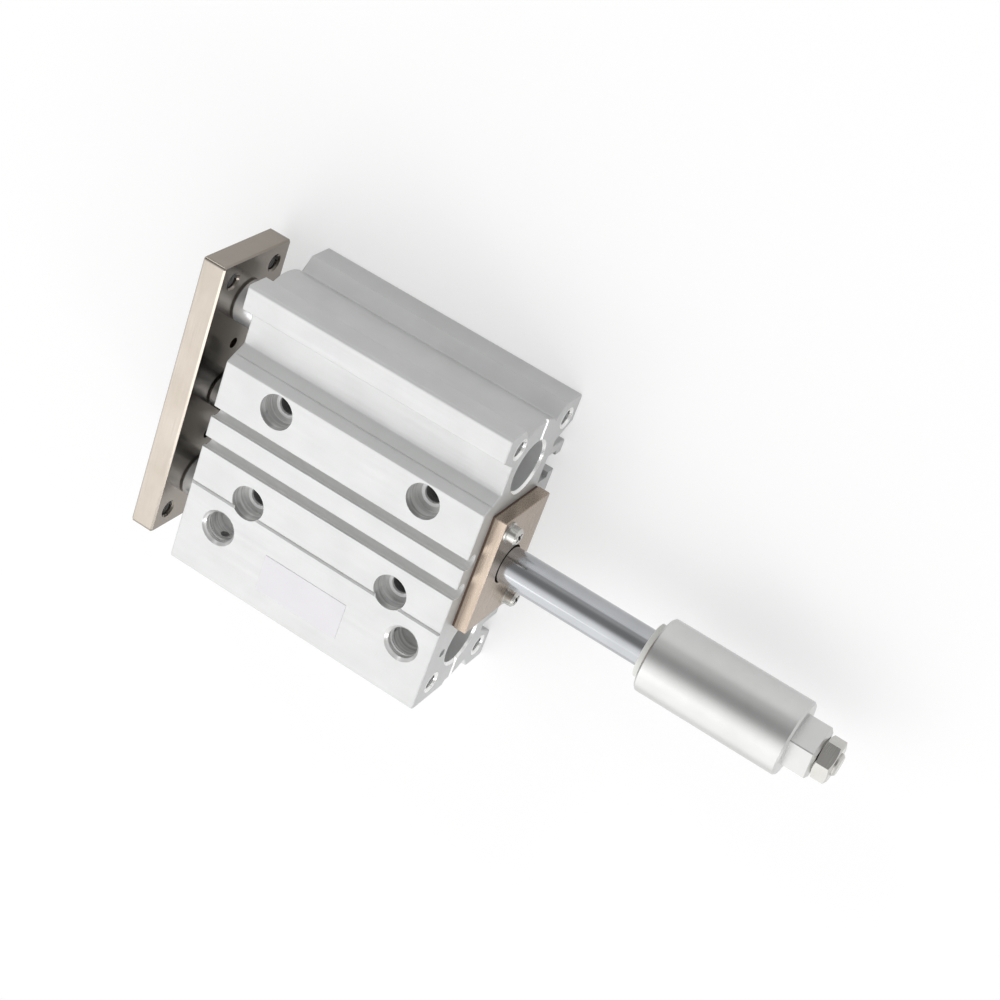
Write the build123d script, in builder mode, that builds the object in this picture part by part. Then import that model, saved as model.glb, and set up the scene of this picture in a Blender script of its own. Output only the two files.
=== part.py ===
from build123d import *
import os

# Guided pneumatic cylinder with two guide rods, a double ended piston rod and an adjustable
# stroke stopper on its tail. Millimetres, +X towards the tooling plate, +Z out of the port face.
# The origin is the centre of the four mounting holes, on the flat back face.

# Stroke and body size
stroke = 40.0
body_ends_length = 37.0
body_width = 83.0
body_height = 36.0
axis_above_middle = 1.0
guide_from_side = 14.5
corner_radius = 1.0
edge_radius = 0.5
end_edge_chamfer = 0.25

# Body mounting holes
mount_spacing_x = 44.0
mount_spacing_y = 28.0
rear_face_to_hole = 16.0
mount_hole_radius = 2.6
mount_mouth_chamfer = 0.5
counterbore_radius = 4.75
counterbore_depth = 5.5
end_hole_from_side = 5.5
end_hole_from_back = 5.0
end_hole_from_top = 7.0
end_hole_radius = 2.1
end_hole_depth = 12.0
end_hole_mouth = 0.5

# Air ports and passages
port_from_guide = 1.5
rear_port_from_end = 8.6
front_port_from_end = 11.0
port_radius = 4.2
port_depth = 8.0
port_mouth_radius = 5.0
passage_radius = 1.0
passage_from_cover = 1.2
passage_start_depth = 4.3
passage_drop = 7.2
passage_run = 19.0
drilling_from_port = 0.7
drilling_depth = 6.7
drilling_radius = 1.2
drilling_plug_length = 2.8
drilling_plug_recess = 0.8
side_drilling_depth = 5.0
side_drilling_radius = 1.2
side_drilling_reach = 3.0
front_drilling_depth = 4.4
front_drilling_radius = 0.9

# Extruded outline
side_shelf_depth = 3.3
lobe_height = 7.0
side_lobe_lower = 8.0
shelf_rise = 3.0
bulge_radius = 13.2
port_block_above_axis = 1.6
port_block_step = 0.7
top_channel_half_mouth = 7.6
top_channel_half_floor = 4.25
top_channel_depth = 6.0
back_channel_outer_from_guide = 6.5
back_channel_slope = 3.5
back_channel_inner_from_guide = 0.9
back_channel_depth = 6.9
slot_from_guide = 5.5
slot_neck = 5.4
slot_head = 8.2
slot_lip = 3.0
slot_depth = 7.8
sensor_slot_y = 4.5
sensor_slot_mouth = 3.3
sensor_slot_radius = 2.1
sensor_slot_centre_depth = 2.4
line_groove_y = 17.0
line_groove_width = 1.1
line_groove_depth = 0.6
slope_line_share = 0.55
slope_line_radius = 0.25
vent_depth = 0.6
vent_below_axis = 1.5

# Bores and rods
bore_radius = 10.0
cover_radius = 11.0
rod_radius = 5.0
guide_rod_radius = 6.0
guide_bore_radius = 7.0
guide_bore_chamfer = 0.6
rod_end_chamfer = 0.5
running_gap = 0.04
seat_gap = 0.02
loose_gap = 0.3

# Covers, bushes and seals
head_cover_length = 10.5
rod_cover_length = 11.5
retaining_ring_thickness = 1.0
retaining_ring_setback = 0.7
retaining_groove_depth = 0.8
retaining_ring_width = 1.6
retaining_ear_radius = 1.3
retaining_ear_drop = 8.8
retaining_ear_hole_radius = 0.6
retaining_ring_mouth = 7.0
rod_bush_wall = 1.0
seal_radius = 7.5
seal_length = 2.8
seal_seat_gap = 0.3
oring_section_radius = 0.62
oring_groove_depth = 1.28
oring_groove_width = 2.0
bumper_thickness = 1.0
bumper_outer_radius = 8.6
bumper_inner_radius = 5.8
guide_rod_setback = 8.0
guide_wiper_length = 2.4
guide_bush_spacing = 2.0

# Piston
piston_end_radius = 8.0
piston_end_length = 1.6
piston_gap = 0.1
piston_land = 0.6
piston_groove_depth = 2.6
piston_seal_gap = 0.03
piston_magnet_gap = 0.4
piston_wear_gap = 0.05
piston_spigot_radius = 3.0
piston_spigot_grip = 7.0

# Rear plate and its screws
gasket_thickness = 0.5
rear_plate_thickness = 3.5
rear_plate_width = 34.0
rear_plate_height = 22.5
rear_plate_hole_radius = 5.5
rear_plate_chamfer = 0.2
gasket_hole_radius = 8.2
rear_screw_y = 13.4
rear_screw_z = 8.0
rear_screw_radius = 1.25
rear_screw_grip = 7.0
rear_screw_head_radius = 2.3
rear_screw_head_length = 1.8
rear_screw_dome = 0.5
rear_washer_radius = 2.8
rear_washer_thickness = 0.5
spring_washer_radius = 2.3
spring_washer_thickness = 0.8
spring_washer_slit = 0.4
cross_recess_width = 0.7
cross_recess_length = 2.6
cross_recess_depth = 1.0

# Tooling plate
plate_gap = 8.6
plate_thickness = 6.7
plate_side_setback = 1.0
plate_height = 29.0
plate_corner_radius = 0.9
plate_chamfer = 0.45
plate_hole_from_side = 5.5
plate_hole_from_edge = 5.5
plate_hole_radius = 2.1
plate_hole_mouth = 0.5
plate_pin_hole_from_guide = 13.0
plate_pin_hole_radius = 1.5
flat_screw_radius = 2.45
flat_screw_head_radius = 4.8
flat_screw_grip = 12.0
flat_screw_socket = 3.0
flat_screw_socket_depth = 1.6
flat_screw_sink = 0.1

# Tail rod, stopper and lock nut
stopper_clearance = 1.3
stopper_adjustment = 30.0
stopper_bumper_thickness = 1.8
stopper_bumper_recess = 1.2
stopper_bumper_radius = 7.3
stopper_radius = 10.0
stopper_length = 39.3
stopper_chamfer = 0.5
stopper_rod_gap = 0.1
wrench_square = 10.0
wrench_corner_radius = 6.9
wrench_corner_chamfer = 0.8
wrench_length = 6.8
wrench_turn = -18.5
tail_rod_grip = 4.0
stud_radius = 3.0
stud_embed = 12.0
stud_tip = 0.9
stud_tip_chamfer = 0.5
thread_gap = 0.05
nut_gap = 0.1
lock_nut_width = 10.0
lock_nut_thickness = 4.2
lock_nut_chamfer = 0.5
lock_nut_end_step = 0.3
lock_nut_turn = 42.0

# Blank label
label_x = 0.3
label_from_side = 11.5
label_length = 25.0
label_width = 10.8
label_thickness = 0.1

# Places that follow from the sizes
body_length = stroke + body_ends_length
body_rear_x = -(mount_spacing_x / 2 + rear_face_to_hole)
body_front_x = body_rear_x + body_length
half_width = body_width / 2
axis_height = body_height / 2 + axis_above_middle
guide_y = half_width - guide_from_side
end_hole_spacing_y = body_width - 2 * end_hole_from_side
slot_y = guide_y - slot_from_guide
port_y = guide_y - port_from_guide
drilling_y = port_y + drilling_from_port
drilling_height = body_height - drilling_depth
vent_height = axis_height - vent_below_axis
label_y = half_width - label_from_side
plate_width = body_width - 2 * plate_side_setback
plate_hole_spacing_y = plate_width - 2 * plate_hole_from_side
plate_hole_spacing_z = plate_height - 2 * plate_hole_from_edge
plate_pin_hole_y = guide_y - plate_pin_hole_from_guide
rear_port_x = body_rear_x + rear_port_from_end
front_port_x = body_front_x - front_port_from_end
chamber_rear_x = body_rear_x + head_cover_length
chamber_front_x = body_front_x - rod_cover_length
piston_clearance = loose_gap
piston_rear_x = chamber_rear_x + bumper_thickness + piston_clearance
piston_front_x = chamber_front_x - bumper_thickness - piston_clearance - stroke
plate_inner_x = body_front_x + plate_gap
plate_outer_x = plate_inner_x + plate_thickness
rear_plate_front_x = body_rear_x - gasket_thickness
rear_plate_rear_x = rear_plate_front_x - rear_plate_thickness
stopper_front_x = rear_plate_rear_x - stroke - stopper_clearance
sleeve_front_x = stopper_front_x - stopper_bumper_thickness
sleeve_rear_x = sleeve_front_x - stopper_length
wrench_rear_x = sleeve_rear_x - wrench_length
nut_front_x = wrench_rear_x - nut_gap
nut_rear_x = nut_front_x - lock_nut_thickness
stud_end_x = nut_rear_x - stud_tip
tail_rod_end_x = sleeve_front_x - tail_rod_grip
guide_rod_end_x = body_rear_x + guide_rod_setback
guide_wiper_x = body_front_x - guide_wiper_length - seat_gap
guide_bush_rear_x = guide_rod_end_x + stroke + loose_gap
guide_bush_length = (guide_wiper_x - guide_bush_rear_x - guide_bush_spacing) / 2
ring_rear_x = body_front_x - retaining_ring_setback - retaining_ring_thickness
rod_cover_front_x = ring_rear_x - seat_gap

# Lines and directions that the pieces share
piston_axis = Axis((0, 0, axis_height), (1, 0, 0))
up_from_face = (Align.CENTER, Align.CENTER, Align.MIN)
into_top = (Align.CENTER, Align.CENTER, Align.MAX)


def along_x(x, y=0.0, z=axis_height):
    """Place at x on the line through y and z, with its own Z pointing along +X."""
    return Location(Plane(origin=(x, y, z), x_dir=(0, 1, 0), z_dir=(1, 0, 0)))


def turned_profile(points, y=0.0):
    """Closed half profile of a turned piece, from its x and radius about the axis at y."""
    with BuildSketch(Plane.XZ.offset(-y)) as profile:
        with BuildLine():
            Polyline(*[(x, axis_height + radius) for x, radius in points], close=True)
        make_face()
    return profile.sketch


def shaft(start_x, end_x, radius, chamfer_size=rod_end_chamfer, y=0.0):
    """Half profile of a plain shaft with a chamfer at each end."""
    return turned_profile(
        [
            (start_x, 0),
            (start_x, radius - chamfer_size),
            (start_x + chamfer_size, radius),
            (end_x - chamfer_size, radius),
            (end_x, radius - chamfer_size),
            (end_x, 0),
        ],
        y,
    )


def ring(start_x, end_x, inner_radius, outer_radius, y=0.0):
    """Half profile of a plain ring."""
    return turned_profile(
        [(start_x, inner_radius), (start_x, outer_radius), (end_x, outer_radius), (end_x, inner_radius)],
        y,
    )


def guide_axis(y):
    """Axis of the guide rod at y."""
    return Axis((0, y, axis_height), (1, 0, 0))


def bulge_point(side, height):
    """Point at a height on the round wall around the guide bore of one side."""
    rise = height - axis_height
    reach = (bulge_radius**2 - rise**2) ** 0.5
    return (side * (guide_y + reach), height)


# Extruded body outline, from the back face round by the port side
upper_shelf_z = body_height - lobe_height
upper_valley_z = upper_shelf_z - shelf_rise
lower_valley_z = side_lobe_lower + side_shelf_depth
port_block_lower_z = axis_height + port_block_above_axis
port_step_z = port_block_lower_z - port_block_step
channel_floor_z = body_height - top_channel_depth
slope_width = top_channel_half_mouth - top_channel_half_floor
slope_line = (
    -guide_y + top_channel_half_floor + slope_line_share * slope_width,
    channel_floor_z + slope_line_share * top_channel_depth,
)
back_channel_outer_y = guide_y + back_channel_outer_from_guide
back_channel_inner_y = guide_y + back_channel_inner_from_guide
back_floor_outer_y = back_channel_outer_y - back_channel_slope
port_side_back = [
    (back_channel_inner_y, 0),
    (back_channel_inner_y, back_channel_depth),
    (back_floor_outer_y, back_channel_depth),
    (back_channel_outer_y, 0),
    (half_width, 0),
    (half_width, side_lobe_lower),
    bulge_point(1, lower_valley_z),
]
top_side = [
    bulge_point(1, port_step_z),
    (half_width, port_block_lower_z),
    (half_width, body_height),
    (-guide_y + top_channel_half_mouth, body_height),
    (-guide_y + top_channel_half_floor, channel_floor_z),
    (-guide_y - top_channel_half_floor, channel_floor_z),
    (-guide_y - top_channel_half_mouth, body_height),
    (-half_width, body_height),
    (-half_width, upper_shelf_z),
    bulge_point(-1, upper_valley_z),
]
plain_side_back = [
    bulge_point(-1, lower_valley_z),
    (-half_width, side_lobe_lower),
    (-half_width, 0),
    (-back_channel_outer_y, 0),
    (-back_floor_outer_y, back_channel_depth),
    (-back_channel_inner_y, back_channel_depth),
    (-back_channel_inner_y, 0),
]

with BuildPart() as cylinder_body:
    with BuildSketch(Plane.YZ.offset(body_rear_x)) as outline:
        with BuildLine():
            Polyline(*port_side_back)
            port_bulge_middle = bulge_point(1, (lower_valley_z + port_step_z) / 2)
            ThreePointArc(port_side_back[-1], port_bulge_middle, top_side[0])
            Polyline(*top_side)
            ThreePointArc(top_side[-1], bulge_point(-1, axis_height), plain_side_back[0])
            Polyline(*plain_side_back)
            Line(plain_side_back[-1], port_side_back[0])
        make_face()
        outer_corners = outline.vertices().group_by(Axis.X)[0] + outline.vertices().group_by(Axis.X)[-1]
        lower_corners = outer_corners.group_by(Axis.Y)[0]
        upper_corners = outer_corners.group_by(Axis.Y)[-1]
        fillet(lower_corners + upper_corners, radius=corner_radius)
        inner_corners = outline.vertices().filter_by(lambda v: abs(v.X) < half_width - corner_radius - 0.01)
        fillet(inner_corners, radius=edge_radius)
    extrude(amount=body_length)
    chamfer(cylinder_body.faces().sort_by(Axis.X)[0].edges(), length=end_edge_chamfer)
    chamfer(cylinder_body.faces().sort_by(Axis.X)[-1].edges(), length=end_edge_chamfer)

    # Slots that run the whole length
    with BuildSketch(Plane.YZ.offset(body_rear_x)):
        for side in (-1, 1):
            with Locations((side * slot_y, 0)):
                Rectangle(slot_neck, 2 * slot_depth)
            with Locations((side * slot_y, (slot_lip + slot_depth) / 2)):
                Rectangle(slot_head, slot_depth - slot_lip)
            with Locations((side * sensor_slot_y, body_height - sensor_slot_centre_depth)):
                Circle(sensor_slot_radius)
            with Locations((side * sensor_slot_y, body_height)):
                Rectangle(sensor_slot_mouth, 2 * sensor_slot_centre_depth)
        with Locations(slope_line):
            Circle(slope_line_radius)
        with BuildLine():
            Polyline(
                (line_groove_y - line_groove_width / 2, body_height),
                (line_groove_y, body_height - line_groove_depth),
                (line_groove_y + line_groove_width / 2, body_height),
                close=True,
            )
        make_face()
    extrude(amount=body_length, mode=Mode.SUBTRACT)

    # Piston bore with a wider seat for each cover
    with Locations(along_x(body_rear_x)):
        Cylinder(bore_radius, body_length, align=up_from_face, mode=Mode.SUBTRACT)
        Cylinder(cover_radius, head_cover_length, align=up_from_face, mode=Mode.SUBTRACT)
    with Locations(along_x(chamber_front_x)):
        Cylinder(cover_radius, rod_cover_length, align=up_from_face, mode=Mode.SUBTRACT)
    with Locations(along_x(ring_rear_x)):
        Cylinder(
            cover_radius + retaining_groove_depth,
            retaining_ring_thickness + seat_gap,
            align=up_from_face,
            mode=Mode.SUBTRACT,
        )

    # Guide bores, chamfered at both ends
    chamfer_radius = guide_bore_radius + guide_bore_chamfer
    for side in (-1, 1):
        bore_profile = turned_profile(
            [
                (body_rear_x, 0),
                (body_rear_x, chamfer_radius),
                (body_rear_x + guide_bore_chamfer, guide_bore_radius),
                (body_front_x - guide_bore_chamfer, guide_bore_radius),
                (body_front_x, chamfer_radius),
                (body_front_x, 0),
            ],
            side * guide_y,
        )
        revolve(bore_profile, axis=guide_axis(side * guide_y), mode=Mode.SUBTRACT)

    # Mounting holes, counterbored on the port face and tapped from the back
    with Locations((0, 0, body_height)):
        with GridLocations(mount_spacing_x, mount_spacing_y, 2, 2):
            CounterBoreHole(mount_hole_radius, counterbore_radius, counterbore_depth)
    with GridLocations(mount_spacing_x, mount_spacing_y, 2, 2):
        Cone(
            mount_hole_radius + mount_mouth_chamfer,
            mount_hole_radius,
            mount_mouth_chamfer,
            align=up_from_face,
            mode=Mode.SUBTRACT,
        )

    # Tapped holes in the rear end face
    for y in (-end_hole_spacing_y / 2, end_hole_spacing_y / 2):
        for z in (end_hole_from_back, body_height - end_hole_from_top):
            with Locations(along_x(body_rear_x, y, z)):
                Cylinder(end_hole_radius, end_hole_depth, align=up_from_face, mode=Mode.SUBTRACT)
                Cone(
                    end_hole_radius + end_hole_mouth,
                    end_hole_radius,
                    end_hole_mouth,
                    align=up_from_face,
                    mode=Mode.SUBTRACT,
                )

    # Ports, each with a slanted passage down to its end of the bore
    port_chamfer = port_mouth_radius - port_radius
    passage_ends = (
        (rear_port_x, chamber_rear_x + passage_from_cover),
        (front_port_x, chamber_front_x - passage_from_cover),
    )
    for port_x, passage_x in passage_ends:
        with Locations((port_x, port_y, body_height)):
            Cylinder(port_radius, port_depth, align=into_top, mode=Mode.SUBTRACT)
            Cone(port_radius, port_mouth_radius, port_chamfer, align=into_top, mode=Mode.SUBTRACT)
        passage_plane = Plane(
            origin=(passage_x, port_y - passage_radius, body_height - passage_start_depth),
            z_dir=(0, -passage_run, -passage_drop),
        )
        with Locations(Location(passage_plane)):
            passage_length = (passage_run**2 + passage_drop**2) ** 0.5
            Cylinder(passage_radius, passage_length, align=up_from_face, mode=Mode.SUBTRACT)

    # Drilling from the rear face into the rear port, and one in the wall of each port
    with Locations(along_x(body_rear_x, drilling_y, drilling_height)):
        Cylinder(drilling_radius, rear_port_from_end, align=up_from_face, mode=Mode.SUBTRACT)
    wall_drilling_length = port_radius + side_drilling_reach
    with Locations(along_x(rear_port_x, port_y, body_height - front_drilling_depth)):
        Cylinder(front_drilling_radius, wall_drilling_length, align=up_from_face, mode=Mode.SUBTRACT)
    side_plane = Plane(origin=(front_port_x, port_y, body_height - side_drilling_depth), z_dir=(0, 1, 0))
    with Locations(Location(side_plane)):
        Cylinder(side_drilling_radius, wall_drilling_length, align=up_from_face, mode=Mode.SUBTRACT)

    # V groove that vents each guide bore to the side, in the rear face
    vent_start_y = guide_y + guide_bore_radius - vent_depth
    vent_side = vent_depth * 2**0.5
    for side in (-1, 1):
        with Locations((body_rear_x, side * (vent_start_y + half_width) / 2, vent_height)):
            Box(
                vent_side, half_width - vent_start_y, vent_side, rotation=(0, 45, 0), mode=Mode.SUBTRACT
            )

    # Tapped holes for the rear plate screws
    rear_screw_places = (
        (-rear_screw_y, axis_height + rear_screw_z),
        (rear_screw_y, axis_height - rear_screw_z),
    )
    for y, z in rear_screw_places:
        with Locations(along_x(body_rear_x, y, z)):
            Cylinder(
                rear_screw_radius + seat_gap,
                rear_screw_grip + loose_gap,
                align=up_from_face,
                mode=Mode.SUBTRACT,
            )


def cover(start_x, end_x, groove_x, seal_x, bush_x, bush_end_x):
    """End cover of the bore, with seats for its O-ring, rod seal and bush."""
    outer = cover_radius - seat_gap
    revolve(ring(start_x, end_x, rod_radius + loose_gap, outer), axis=piston_axis)
    revolve(
        ring(groove_x, groove_x + oring_groove_width, outer - oring_groove_depth, outer + 1),
        axis=piston_axis,
        mode=Mode.SUBTRACT,
    )
    seal_seat = ring(seal_x, seal_x + seal_length + seal_seat_gap, 0, seal_radius)
    revolve(seal_seat, axis=piston_axis, mode=Mode.SUBTRACT)
    bush_seat = ring(bush_x, bush_end_x, 0, rod_radius + running_gap + rod_bush_wall)
    revolve(bush_seat, axis=piston_axis, mode=Mode.SUBTRACT)


# The seal lies at the outer face of each cover, the bush at its inner face
head_seal_x = body_rear_x
head_bush_x = head_seal_x + seal_length + seal_seat_gap + loose_gap
rod_seal_x = rod_cover_front_x - seal_length - seal_seat_gap
rod_bush_end_x = rod_seal_x - loose_gap
head_groove_x = (body_rear_x + chamber_rear_x - oring_groove_width) / 2
rod_groove_x = (rod_cover_front_x + chamber_front_x - oring_groove_width) / 2

with BuildPart() as head_cover:
    cover(body_rear_x, chamber_rear_x, head_groove_x, head_seal_x, head_bush_x, chamber_rear_x)

with BuildPart() as rod_cover:
    cover(chamber_front_x, rod_cover_front_x, rod_groove_x, rod_seal_x, chamber_front_x, rod_bush_end_x)


def oring(groove_x):
    """O-ring in the groove of a cover."""
    ring_radius = cover_radius - seat_gap - oring_section_radius
    with BuildSketch(Plane.XZ) as section:
        with Locations((groove_x + oring_groove_width / 2, axis_height + ring_radius)):
            Circle(oring_section_radius)
    revolve(section.sketch, axis=piston_axis)


with BuildPart() as head_cover_oring:
    oring(head_groove_x)

with BuildPart() as rod_cover_oring:
    oring(rod_groove_x)

with BuildPart() as tail_rod_bush:
    bush_outer = rod_radius + running_gap + rod_bush_wall - seat_gap
    revolve(ring(head_bush_x, chamber_rear_x, rod_radius + running_gap, bush_outer), axis=piston_axis)

with BuildPart() as piston_rod_bush:
    revolve(ring(chamber_front_x, rod_bush_end_x, rod_radius + running_gap, bush_outer), axis=piston_axis)


def rod_seal_ring(start_x):
    """Lipped rod seal that starts at an x."""
    lip = rod_radius + running_gap
    outer = seal_radius - seat_gap
    middle = (lip + outer) / 2
    notch = seal_length / 3
    profile = turned_profile(
        [
            (start_x, lip),
            (start_x, middle - notch / 2),
            (start_x + notch, middle),
            (start_x, middle + notch / 2),
            (start_x, outer),
            (start_x + seal_length, outer),
            (start_x + seal_length, lip),
        ]
    )
    revolve(profile, axis=piston_axis)


with BuildPart() as tail_rod_seal:
    rod_seal_ring(head_seal_x + seal_seat_gap)

with BuildPart() as piston_rod_seal:
    rod_seal_ring(rod_seal_x)

with BuildPart() as rod_cover_retaining_ring:
    ring_outer = cover_radius + retaining_groove_depth - seat_gap
    with BuildSketch(Plane.YZ.offset(ring_rear_x)):
        with Locations((0, axis_height)):
            Circle(ring_outer)
            Circle(ring_outer - retaining_ring_width, mode=Mode.SUBTRACT)
        with Locations((0, axis_height - ring_outer)):
            Rectangle(retaining_ring_mouth, 3 * retaining_ring_width, mode=Mode.SUBTRACT)
        for side in (-1, 1):
            ear_y = side * (retaining_ring_mouth + retaining_ear_radius) / 2
            with Locations((ear_y, axis_height - retaining_ear_drop)):
                Circle(retaining_ear_radius)
                Circle(retaining_ear_hole_radius, mode=Mode.SUBTRACT)
    extrude(amount=retaining_ring_thickness)

with BuildPart() as rear_bumper:
    rear_bumper_profile = ring(
        chamber_rear_x, chamber_rear_x + bumper_thickness, bumper_inner_radius, bumper_outer_radius
    )
    revolve(rear_bumper_profile, axis=piston_axis)

with BuildPart() as front_bumper:
    front_bumper_profile = ring(
        chamber_front_x - bumper_thickness, chamber_front_x, bumper_inner_radius, bumper_outer_radius
    )
    revolve(front_bumper_profile, axis=piston_axis)

with BuildPart() as front_guide_bushes:
    front_bush_x = guide_wiper_x - guide_bush_length
    for side in (-1, 1):
        bush_profile = ring(
            front_bush_x,
            guide_wiper_x - seat_gap,
            guide_rod_radius + running_gap,
            guide_bore_radius - seat_gap,
            side * guide_y,
        )
        revolve(bush_profile, axis=guide_axis(side * guide_y))

with BuildPart() as rear_guide_bushes:
    for side in (-1, 1):
        bush_profile = ring(
            guide_bush_rear_x,
            guide_bush_rear_x + guide_bush_length,
            guide_rod_radius + running_gap,
            guide_bore_radius - seat_gap,
            side * guide_y,
        )
        revolve(bush_profile, axis=guide_axis(side * guide_y))

with BuildPart() as guide_rod_wipers:
    for side in (-1, 1):
        wiper_profile = ring(
            guide_wiper_x,
            guide_wiper_x + guide_wiper_length,
            guide_rod_radius + running_gap,
            guide_bore_radius - seat_gap,
            side * guide_y,
        )
        revolve(wiper_profile, axis=guide_axis(side * guide_y))

with BuildPart() as drilling_plug:
    with Locations(along_x(body_rear_x + drilling_plug_recess, drilling_y, drilling_height)):
        Cylinder(drilling_radius - seat_gap, drilling_plug_length, align=up_from_face)

with BuildPart() as head_gasket:
    with BuildSketch(Plane.YZ.offset(rear_plate_front_x)):
        with Locations((0, axis_height)):
            Rectangle(rear_plate_width - 2 * rear_plate_chamfer, rear_plate_height - 2 * rear_plate_chamfer)
            Circle(gasket_hole_radius, mode=Mode.SUBTRACT)
        with Locations(*rear_screw_places):
            Circle(rear_screw_radius + loose_gap, mode=Mode.SUBTRACT)
    extrude(amount=gasket_thickness)

with BuildPart() as rear_plate:
    with BuildSketch(Plane.YZ.offset(rear_plate_rear_x)):
        with Locations((0, axis_height)):
            Rectangle(rear_plate_width, rear_plate_height)
    extrude(amount=rear_plate_thickness)
    chamfer(rear_plate.edges(), length=rear_plate_chamfer)
    with Locations(along_x(rear_plate_rear_x)):
        Cylinder(rear_plate_hole_radius, rear_plate_thickness, align=up_from_face, mode=Mode.SUBTRACT)
    for y, z in rear_screw_places:
        with Locations(along_x(rear_plate_rear_x, y, z)):
            Cylinder(
                rear_screw_radius + seat_gap, rear_plate_thickness, align=up_from_face, mode=Mode.SUBTRACT
            )

# Screw heads bear on a spring washer, which lies on a flat washer
spring_washer_x = rear_plate_rear_x - rear_washer_thickness
rear_head_x = spring_washer_x - spring_washer_thickness
rear_head_end_x = rear_head_x - rear_screw_head_length

with BuildPart() as rear_plate_screws:
    for y, z in rear_screw_places:
        with Locations(along_x(rear_head_x, y, z)):
            Cylinder(rear_screw_radius, rear_screw_grip - rear_head_x + body_rear_x, align=up_from_face)
        with Locations(along_x(rear_head_end_x + rear_screw_dome, y, z)):
            Cylinder(rear_screw_head_radius, rear_screw_head_length - rear_screw_dome, align=up_from_face)
        with Locations(along_x(rear_head_end_x, y, z)):
            Cone(
                rear_screw_head_radius - rear_screw_dome,
                rear_screw_head_radius,
                rear_screw_dome,
                align=up_from_face,
            )
            Box(
                cross_recess_length,
                cross_recess_width,
                cross_recess_depth,
                align=up_from_face,
                rotation=(0, 0, 45),
                mode=Mode.SUBTRACT,
            )
            Box(
                cross_recess_length,
                cross_recess_width,
                cross_recess_depth,
                align=up_from_face,
                rotation=(0, 0, -45),
                mode=Mode.SUBTRACT,
            )

with BuildPart() as rear_plate_washers:
    with BuildSketch(Plane.YZ.offset(spring_washer_x)):
        with Locations(*rear_screw_places):
            Circle(rear_washer_radius)
            Circle(rear_screw_radius + seat_gap, mode=Mode.SUBTRACT)
    extrude(amount=rear_washer_thickness)

with BuildPart() as rear_plate_spring_washers:
    with BuildSketch(Plane.YZ.offset(rear_head_x)):
        with Locations(*rear_screw_places):
            Circle(spring_washer_radius)
            Circle(rear_screw_radius + seat_gap, mode=Mode.SUBTRACT)
            Rectangle(
                spring_washer_radius,
                spring_washer_slit,
                align=(Align.MIN, Align.CENTER),
                mode=Mode.SUBTRACT,
            )
    extrude(amount=spring_washer_thickness)

with BuildPart() as blank_label:
    with Locations((label_x, label_y, body_height)):
        Box(label_length, label_width, label_thickness, align=up_from_face)

# Moving carriage: tooling plate, guide rods, piston rod, piston and tail rod
flat_screw_places = ((-guide_y, axis_height), (guide_y, axis_height), (0, axis_height))

with BuildPart() as tooling_plate:
    with BuildSketch(Plane.YZ.offset(plate_inner_x)):
        with Locations((0, axis_height)):
            Rectangle(plate_width, plate_height)
    extrude(amount=plate_thickness)
    fillet(tooling_plate.edges().filter_by(Axis.X), radius=plate_corner_radius)
    chamfer(tooling_plate.faces().filter_by(Axis.X).edges(), length=plate_chamfer)
    with Locations(along_x(plate_outer_x)):
        with GridLocations(plate_hole_spacing_y, plate_hole_spacing_z, 2, 2):
            Hole(plate_hole_radius)
            Cone(
                plate_hole_radius,
                plate_hole_radius + plate_hole_mouth,
                plate_hole_mouth,
                align=into_top,
                mode=Mode.SUBTRACT,
            )
    with Locations(along_x(plate_inner_x)):
        with GridLocations(plate_hole_spacing_y, plate_hole_spacing_z, 2, 2):
            Cone(
                plate_hole_radius + plate_hole_mouth,
                plate_hole_radius,
                plate_hole_mouth,
                align=up_from_face,
                mode=Mode.SUBTRACT,
            )
    with Locations(along_x(plate_outer_x)):
        with GridLocations(2 * plate_pin_hole_y, 0, 2, 1):
            Hole(plate_pin_hole_radius)
    for y, z in flat_screw_places:
        with Locations(along_x(plate_outer_x, y, z)):
            CounterSinkHole(
                flat_screw_radius + seat_gap, flat_screw_head_radius + 2 * seat_gap, counter_sink_angle=90
            )


def flat_screw(y):
    """Countersunk socket screw, from the outer face of the tooling plate into a rod."""
    head_x = plate_outer_x - flat_screw_sink
    cone_length = flat_screw_head_radius - flat_screw_sink - flat_screw_radius
    end_x = plate_inner_x - flat_screw_grip
    profile = turned_profile(
        [
            (end_x, 0),
            (end_x, flat_screw_radius),
            (head_x - cone_length, flat_screw_radius),
            (head_x, flat_screw_head_radius - flat_screw_sink),
            (head_x, 0),
        ],
        y,
    )
    revolve(profile, axis=guide_axis(y))
    with Locations(along_x(head_x, y)):
        with BuildSketch(Plane(origin=(head_x, y, axis_height), x_dir=(0, 1, 0), z_dir=(1, 0, 0))) as socket:
            RegularPolygon(flat_screw_socket / 2, 6, major_radius=False)
    extrude(socket.sketch, amount=-flat_screw_socket_depth, mode=Mode.SUBTRACT)


with BuildPart() as guide_rod_screws:
    flat_screw(-guide_y)
    flat_screw(guide_y)

with BuildPart() as piston_rod_screw:
    flat_screw(0)


def guide_rod(y):
    """Guide rod at y, drilled at its front end for the plate's screw."""
    revolve(shaft(guide_rod_end_x, plate_inner_x, guide_rod_radius, y=y), axis=guide_axis(y))
    with Locations(along_x(plate_inner_x, y)):
        Cylinder(
            flat_screw_radius + seat_gap,
            flat_screw_grip + loose_gap,
            align=into_top,
            mode=Mode.SUBTRACT,
        )


with BuildPart() as guide_rod_plain_side:
    guide_rod(-guide_y)

with BuildPart() as guide_rod_port_side:
    guide_rod(guide_y)

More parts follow.
